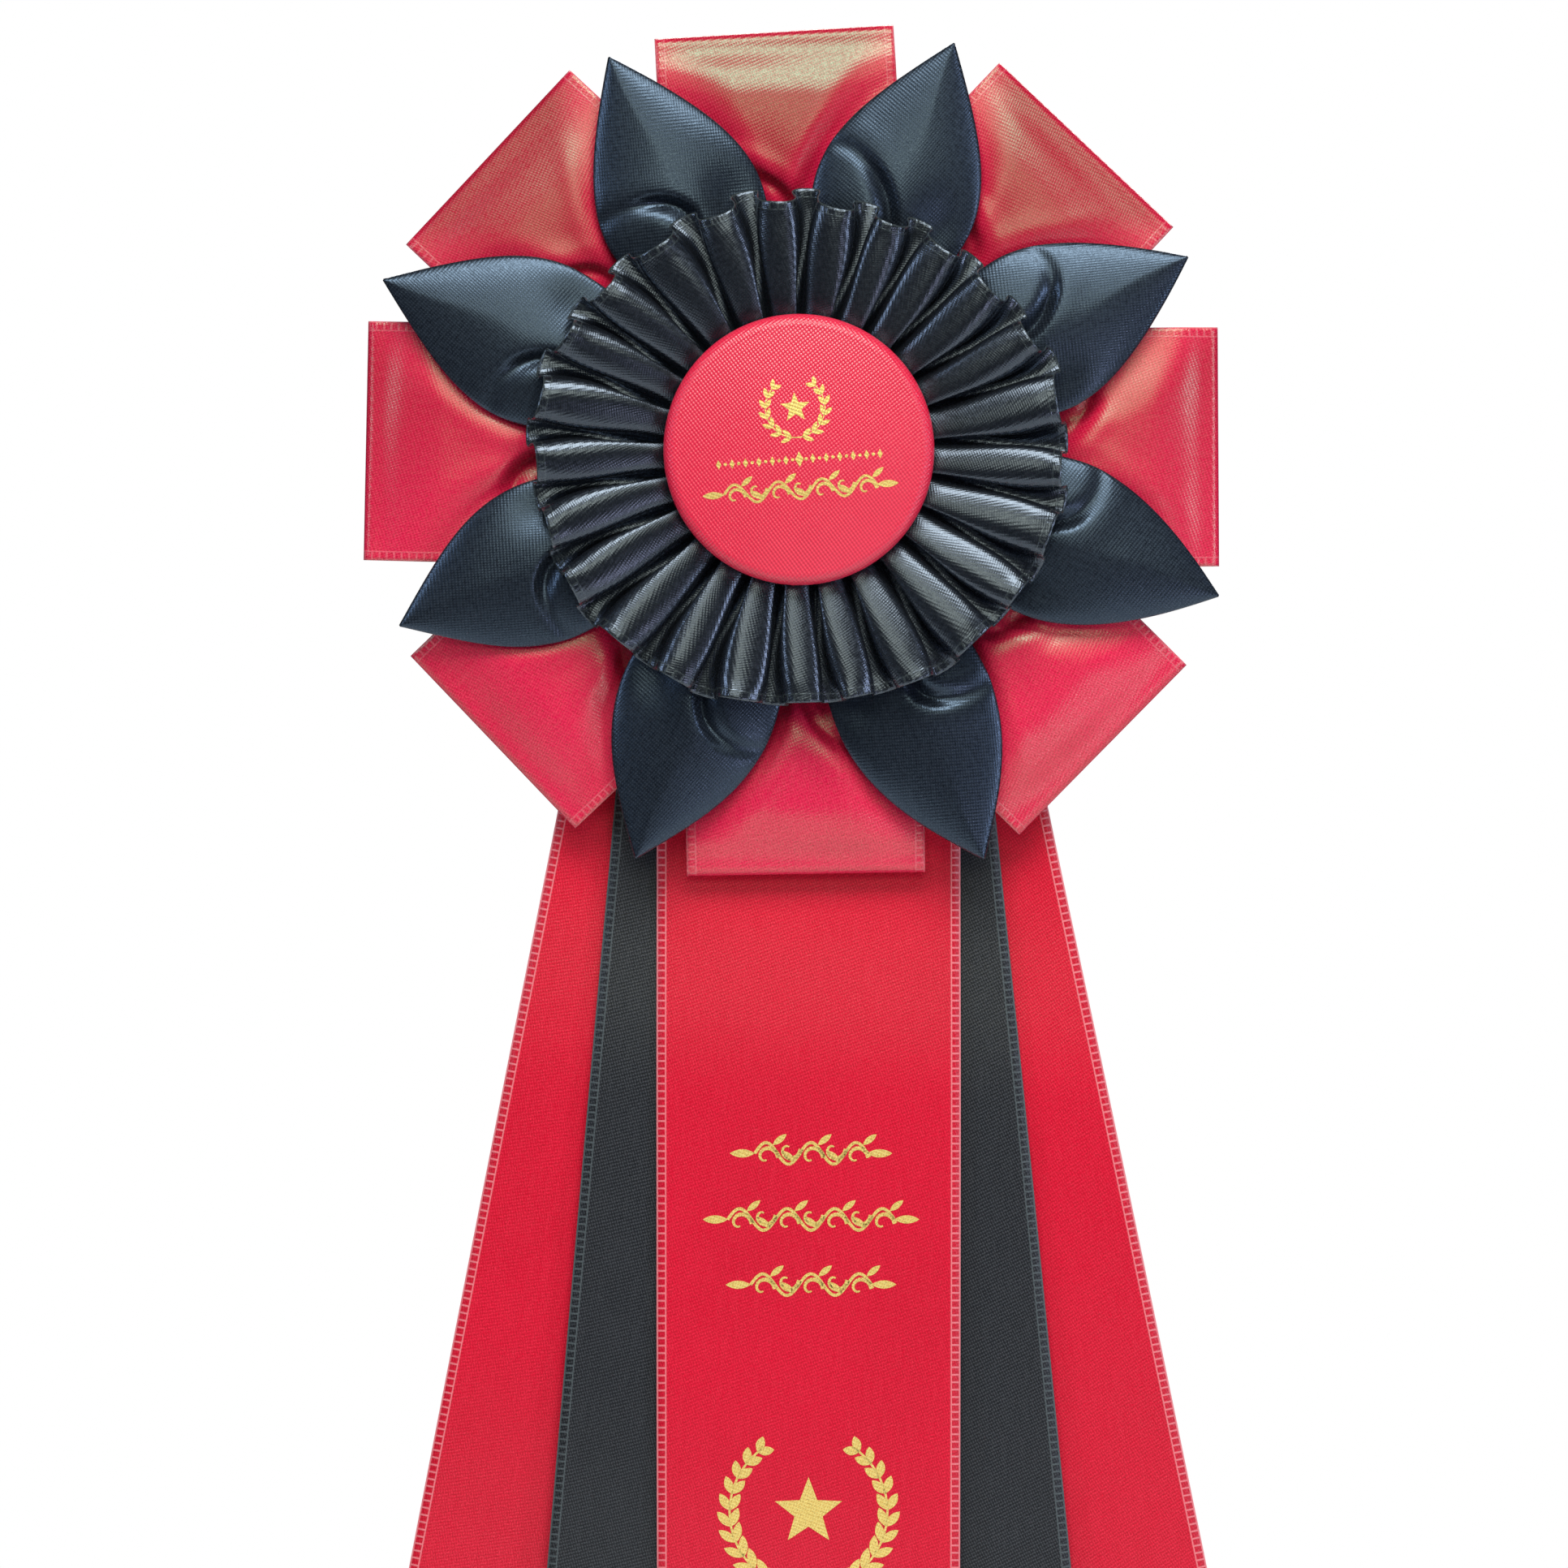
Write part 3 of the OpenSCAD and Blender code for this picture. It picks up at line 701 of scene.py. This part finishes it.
RUFFLE_T = 0.22
PLEATS = 25
PLEAT_LEN = 27
RUFFLE_RIBBON_W = 37
# The ruffle droops a little, so it is wider than it is high
OVAL = 1.6
# Where the ribbon starts and ends, in degrees clockwise from the top
RUFFLE_START = 171
# One pleat's section at three radii, as place along the ring in pleat pitches, and depth. At the button it
# is a knife pleat in three layers. Further out the layers part, and at the hem it is an open wave.
PLEAT_AT_BUTTON = [(0.00, 0.9), (0.22, 1.6), (0.46, 2.2), (0.70, 2.7), (0.92, 3.0), (1.06, 2.9),
                   (1.10, 2.4), (1.04, 1.9), (0.78, 1.3), (0.50, 0.8), (0.46, 0.4), (0.72, 0.5)]
PLEAT_MIDWAY = [(0.27, 0.5), (0.26, 2.2), (0.27, 4.2), (0.36, 5.5), (0.52, 6.2), (0.70, 6.6), (0.88, 6.7),
                (1.03, 6.2), (1.08, 4.9), (1.04, 2.9), (1.03, 1.1), (1.12, 0.3)]
PLEAT_AT_HEM = [(0.31, 0.5), (0.35, 2.0), (0.33, 4.8), (0.37, 7.2), (0.50, 8.6), (0.67, 9.2), (0.83, 8.9),
                (0.94, 7.2), (0.95, 4.7), (0.91, 2.2), (0.98, 0.7), (1.14, 0.2)]
# Usual depth of a crest at the hem
CREST_H = 9


def around_pleats(low, high, phase, rng):
    """A random value for each pleat, carried smoothly along the whole ribbon. phase counts pleats."""
    values = np.array([rng.uniform(low, high) for _ in range(PLEATS)])
    k = np.floor(phase).astype(int) % PLEATS
    return mix(values[k], values[(k + 1) % PLEATS], smooth(0, 1, phase - np.floor(phase)))


def along_section(keys, p):
    """A smooth curve through one pleat's section, which repeats a pitch further on."""
    keys = np.array(keys)
    count = len(keys)
    k = np.floor(p * count).astype(int)
    t = (p * count - k)[..., None]

    def key(n):
        turned = keys[n % count]
        turned[..., 0] += np.floor_divide(n, count)
        return turned

    before, start, end, after = key(k - 1), key(k), key(k + 1), key(k + 2)
    bend = t * (3 * (start - end) + after - before) + 2 * before - 5 * start + 4 * end - after
    return start + 0.5 * t * (end - before + t * bend)


def ruffle_sheet(material):
    """One long ribbon: knife pleats where it is sewn down, opening into waves at its hem."""
    rng = random.Random(11)
    v, c = grid(44, PLEATS * 48 + 1)
    phase = np.minimum(c * PLEATS, PLEATS - 1e-6)
    p = phase - np.floor(phase)
    inner, midway, hem = [along_section(keys, p) for keys in (PLEAT_AT_BUTTON, PLEAT_MIDWAY, PLEAT_AT_HEM)]
    opening = v[..., None]
    pull = 2 * midway - 0.5 * (inner + hem)
    section = inner * (1 - opening) ** 2 + pull * 2 * opening * (1 - opening) + hem * opening ** 2
    height = around_pleats(0.82, 1.06, phase, rng)
    shift = around_pleats(-0.15, 0.15, phase, rng)
    uneven = around_pleats(-1.2, 1.0, phase, rng)
    bow = around_pleats(-0.8, 1.0, phase, rng)
    bulge = np.sin(math.pi * v)
    x = np.floor(phase) + section[..., 0] + shift * v ** 1.5 + 0.06 * bow * bulge
    rise = section[..., 1] * mix(1, height, v) + 0.5 * bow * bulge
    angle = TAU * x / PLEATS + math.radians(RUFFLE_START)
    reach = RUFFLE_R + uneven - OVAL * np.cos(2 * angle)
    # the crests' hem hangs lowest at the top
    crest = rise / CREST_H * v
    sag = 2.4 + 1.6 * np.cos(angle)
    r = mix(reach - RUFFLE_RIBBON_W + 0.8, reach, v) - crest * sag
    curl = 0.5 * smooth(0.85, 1.0, v) * np.sin(TAU * 3 * c * PLEATS / 2 + 9 * c)
    points = np.stack([r * np.sin(angle), -(RUFFLE_BACK + rise + curl), r * np.cos(angle)], axis=-1)
    uv = np.stack([(v - 0.5) * RUFFLE_RIBBON_W, phase * PLEAT_LEN], axis=-1)
    return sheet_mesh("pleated_ruffle_ribbon", points, uv, material, RUFFLE_T)


# ---- Button ----

BUTTON_T = 0.3
RIM_R = 3.0
DOME_H = 2.1
BUTTON_WALL = 2.2
BUTTON_HEM = 2.6


def button_depth(x, z):
    """Depth of the button's face at a point inside its rim."""
    share = (x ** 2 + z ** 2) / (BUTTON_R - RIM_R) ** 2
    return BUTTON_FRONT + DOME_H * (1 - share)


def button_sheet(material):
    """The cover, stretched over the dome, down the rim and turned under it."""
    s, c = grid(120, 193)
    flat, corner = BUTTON_R - RIM_R, RIM_R * math.pi / 2
    run = s * (flat + corner + BUTTON_WALL + BUTTON_HEM)
    turn = np.clip((run - flat) / RIM_R, 0, math.pi / 2)
    down_wall = np.clip(run - flat - corner, 0, BUTTON_WALL)
    under = np.clip(run - flat - corner - BUTTON_WALL, 0, BUTTON_HEM)
    rho = np.minimum(run, flat) + RIM_R * np.sin(turn) - under
    dome = DOME_H * (1 - np.clip(run / flat, 0, 1) ** 2)
    drop = RIM_R * (1 - np.cos(turn)) - dome + down_wall
    angle = TAU * c
    points = np.stack([rho * np.sin(angle), drop - BUTTON_FRONT, rho * np.cos(angle)], axis=-1)
    outward = np.minimum(run, flat + corner)
    uv = np.stack([outward * np.sin(angle), outward * np.cos(angle)], axis=-1)
    obj = sheet_mesh("button_cover_satin", points, uv, material, BUTTON_T)
    # the weld joins the grid's first and last columns before the sheet gets its thickness
    weld = obj.modifiers.new("weld", "WELD")
    weld.merge_threshold = 0.00001
    obj.modifiers.move(1, 0)
    return obj


# ---- Streamers ----

STREAMER_T = 0.26
# How far the streamers come forward under the rosette, and how much further back each end hangs than the end
# of the streamer in front
HANG_FORWARD = 4.6
LAYER_GAP = 1.3


def hang_wave(x, z, growth):
    """How far in front of its flat place a streamer hangs. All five share the waves, so they nest.

    growth is how much further back the streamer's end hangs.
    """
    free = smooth(-70, -180, z)
    wave = 1.1 * np.sin(TAU * z / 230 + 0.9) + 0.5 * np.sin(TAU * (z / 124 + x / 260) + 2.1)
    curl = 0.35 * np.sin(TAU * x / 150 + z / 60)
    forward = HANG_FORWARD * (smooth(-94, -156, z) - smooth(-185, -400, z))
    return free * (wave + curl) + forward - growth * smooth(-90, -400, z)


def streamer_sheet(name, material):
    """One ribbon from its head under the rear card down to its notched end."""
    head, tilt, middle, _ = STREAMERS[name]
    layer = list(STREAMERS).index(name)
    back, front = depth_of(head)
    q, c = grid(230, 30)
    t = 2 * c - 1
    end = STREAMER_LEN - NOTCH_H * (1 - np.abs(t))
    along = -STREAMER_TOP + q * (end + STREAMER_TOP)
    a = math.radians(tilt)
    across = t * STREAMER_W / 2
    x = middle + across * math.cos(a) + along * math.sin(a)
    z = across * math.sin(a) - along * math.cos(a)
    depth = (back + front) / 2 + hang_wave(x, z, LAYER_GAP * layer)
    uv = np.stack([across, along], axis=-1)
    points = np.stack([x, -depth, z], axis=-1)
    return sheet_mesh(f"{name}_ribbon", points, uv, material, STREAMER_T)


# ---- Foil ornaments: generic laurels, stars and scrolls ----

# How far the foil's face and its underside lie in front of the cloth
FOIL_FACE = 0.05
FOIL_UNDERSIDE = 0.005
STAR_POINTS = 5
STAR_WAIST = 0.42
LEAF_STEPS = 8
LEAF_TILT = 0.55
STEM_STEPS = 24
# A scroll row's strokes in each half wave of its stem, and the points of each curl
WAVE_STEPS = 14
CURL_POINTS = 15


def star_outline(radius):
    corners = []
    for k in range(2 * STAR_POINTS):
        reach = radius if k % 2 == 0 else radius * STAR_WAIST
        angle = math.pi * k / STAR_POINTS
        corners.append((reach * math.sin(angle), reach * math.cos(angle)))
    return corners


def leaf_outline(length, width):
    """A pointed leaf along +Y from its stalk at the origin."""
    shares = [k / LEAF_STEPS for k in range(LEAF_STEPS + 1)]
    right = [(width / 2 * math.sin(math.pi * s) ** 0.8, length * s) for s in shares]
    left = [(-x, y) for x, y in reversed(right[1:-1])]
    return right + left


def dot_outline(radius, sides=10):
    angles = [TAU * m / sides for m in range(sides)]
    return [(radius * math.cos(angle), radius * math.sin(angle)) for angle in angles]


def moved(outline, x, y, turn=0.0):
    """The outline turned clockwise by turn in radians, and then moved."""
    c, s = math.cos(turn), math.sin(turn)
    return [(x + c * px + s * py, y - s * px + c * py) for px, py in outline]


def stroke(path, widths):
    """Outlines of the short quads that draw a path with a width for each of its points."""
    quads = []
    for (x0, y0), (x1, y1), w0, w1 in zip(path, path[1:], widths, widths[1:]):
        nx, ny = y1 - y0, x0 - x1
        size = math.hypot(nx, ny) or 1
        nx, ny = nx / size / 2, ny / size / 2
        quads.append([(x0 + nx * w0, y0 + ny * w0), (x1 + nx * w1, y1 + ny * w1),
                      (x1 - nx * w1, y1 - ny * w1), (x0 - nx * w0, y0 - ny * w0)])
    return quads


def laurel(radius, leaves, leaf, spread):
    """Two sprays of leaves that rise from below on thin stems, each through the angle spread."""
    shapes = []
    for side in (-1, 1):
        for k in range(leaves):
            angle = spread * (k + 0.5) / leaves
            x, y = side * radius * math.sin(angle), -radius * math.cos(angle)
            outline = leaf_outline(leaf * (1 - 0.03 * k), leaf * 0.36)
            for tilt in (-LEAF_TILT, LEAF_TILT):
                shapes.append(moved(outline, x, y, side * (math.pi / 2 - angle + tilt)))
        angles = [spread * k / STEM_STEPS for k in range(STEM_STEPS + 1)]
        stem = [(side * radius * math.sin(angle), -radius * math.cos(angle)) for angle in angles]
        shapes += stroke(stem, [leaf * 0.09] * len(stem))
    return shapes


def scroll_row(width, height, curls):
    """A wavy stem with a curl and a leaf in each half wave, and a leaf at each end."""
    pitch = width / curls
    line = height * 0.075
    steps = WAVE_STEPS * curls
    stem = [(-width / 2 + width * k / steps, height * 0.26 * math.sin(math.pi * k / WAVE_STEPS))
            for k in range(steps + 1)]
    shapes = stroke(stem, [line] * len(stem))
    for k in range(curls):
        side = 1 if k % 2 == 0 else -1
        x = -width / 2 + pitch * (k + 0.5)
        curl = []
        for m in range(CURL_POINTS):
            angle, size = 0.35 * m, height * 0.30 * (1 - m / 17)
            curl.append((x + size * math.cos(angle), -side * height * 0.10 + side * size * math.sin(angle)))
        shapes += stroke(curl, [line * (1.5 - m / 14) for m in range(CURL_POINTS)])
        leaf = leaf_outline(height * 0.42, height * 0.15)
        shapes.append(moved(leaf, x + pitch * 0.3, side * height * 0.20, side * 0.9))
    for side in (-1, 1):
        leaf = leaf_outline(height * 0.6, height * 0.2)
        shapes.append(moved(leaf, side * width / 2, 0, side * math.pi / 2))
    return shapes


def bead_row(width, height, beads):
    """A row of small lozenges with a larger one in the middle and a dot between each pair."""
    shapes = []
    for k in range(beads):
        x = width * (k / (beads - 1) - 0.5)
        size = height / 2 * (1.0 if k == beads // 2 else 0.62)
        shapes.append([(x, size), (x + size * 0.55, 0), (x, -size), (x - size * 0.55, 0)])
        if k < beads - 1:
            shapes.append(moved(dot_outline(0.11 * height), x + width / (beads - 1) / 2, 0))
    return shapes


def foil_mesh(name, shapes, surface, material):
    """Thin raised foil in the given outlines (x and z), lying on a surface that gives depth at x, z."""
    verts, faces, uvs = [], [], []
    for shape in shapes:
        outline = [(float(x), float(z)) for x, z in shape]
        start, count = len(verts), len(outline)
        for lift in (FOIL_FACE, FOIL_UNDERSIDE):
            verts += [(x * MM, -(float(surface(x, z)) + lift) * MM, z * MM) for x, z in outline]
        uvs += outline * 2
        faces.append(list(range(start, start + count)))
        faces.append(list(range(start + 2 * count - 1, start + count - 1, -1)))
        for k in range(count):
            after = (k + 1) % count
            faces.append([start + k, start + count + k, start + count + after, start + after])
    mesh = bpy.data.meshes.new(name)
    mesh.from_pydata(verts, [], faces)
    layer = mesh.uv_layers.new(name="ribbon")
    for loop in mesh.loops:
        layer.data[loop.index].uv = uvs[loop.vertex_index]
    mesh.materials.append(material)
    mesh.validate()
    return add_object(name, mesh)


def arranged(shapes, x, z, tilt=0.0):
    """The shapes tilted anticlockwise by an angle in degrees, and then moved."""
    return [moved(shape, x, z, -math.radians(tilt)) for shape in shapes]


def on_button(x, z):
    return button_depth(x, z) + BUTTON_T / 2


def on_centre_streamer(x, z):
    return CENTRE_STREAMER_DEPTH + STREAMER_T / 2 + hang_wave(x, z, 0)


def button_foil(material):
    tilt = 4
    shapes = arranged(laurel(7.0, 7, 2.9, 2.5) + [star_outline(3.6)], -0.9, 9.8, tilt)
    shapes += arranged(bead_row(38, 3.6, 13), 0.1, -2.3, tilt)
    shapes += arranged(scroll_row(36, 8.5, 7), 0.4, -9.4, tilt)
    return foil_mesh("button_foil_ornament", shapes, on_button, material)


def streamer_foil(material):
    shapes = []
    for z, curls, width in ((-168.4, 5, 27), (-184.3, 7, 40), (-200, 5, 29)):
        shapes += arranged(scroll_row(width, 10, curls), 3.0, z)
    shapes += arranged(laurel(19, 12, 6.0, 2.55) + [star_outline(8.5)], 2.4, -255)
    return foil_mesh("streamer_foil_ornament", shapes, on_centre_streamer, material)


# ---- Assembly ----

FLOOR_R = 0.6
FLOOR_Z = -0.45
FLOOR_SIDES = 96


def cover(obj, node):
    """Puts a cloth sheet in a root node's place."""
    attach(obj, "root")
    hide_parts(node)


def add_rosette(looks):
    for i in range(8):
        cover(loop_sheet(i, looks["loop"]), f"red_loop_{i + 1}")
        cover(petal_sheet(i, looks["petal"]), f"black_petal_{i + 1}")
    cover(ruffle_sheet(looks["ruffle"]), "pleated_ruffle")
    cover(button_sheet(looks["button"]), "button_cover")


def add_streamers(looks):
    """Each streamer's ribbon, from its head to its notched end, takes the place of its CAD node and its head.
    """
    for name, (head, _, _, finish) in STREAMERS.items():
        obj = streamer_sheet(name, looks[finish])
        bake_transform(obj)
        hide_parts(name, head)


def add_foil(looks):
    for ornament, body in ((button_foil, "root"), (streamer_foil, "centre_streamer")):
        obj = ornament(looks["foil"])
        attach(obj, body)


def finish_nodes(looks):
    """Gives each CAD node that stays in view its procedural finish, by the record's slots."""
    finish = {"thread": "thread", "card": "card", "foam": "foam", "glue": "glue", "staple_wire": "wire",
              "tinplate": "tin", "pin_steel": "pin"}
    for entry in frame["record"]["subparts"]:
        look = finish.get(entry["material_slot"])
        if look:
            for slot in frame["nodes"][entry["node"]].material_slots:
                slot.material = looks[look]


def add_floor():
    """A pale disc under the hanging ribbon, which the main view doesn't reach."""
    mesh = bpy.data.meshes.new("floor")
    angles = [TAU * k / FLOOR_SIDES for k in range(FLOOR_SIDES)]
    ring = [(FLOOR_R * math.cos(angle), FLOOR_R * math.sin(angle), FLOOR_Z) for angle in angles]
    mesh.from_pydata(ring, [], [list(range(len(ring)))])
    n = Nodes("floor_paint")
    n.colour(n.mix(n.noise(n.position(), 6, 3), (0.86, 0.86, 0.85), (0.90, 0.90, 0.89)))
    n.set(Roughness=0.6)
    mesh.materials.append(n.material)
    add_object("floor", mesh)


def main():
    add_camera()
    add_lights()
    add_world()
    looks = make_materials()
    add_rosette(looks)
    add_streamers(looks)
    add_foil(looks)
    finish_nodes(looks)
    add_floor()


main()
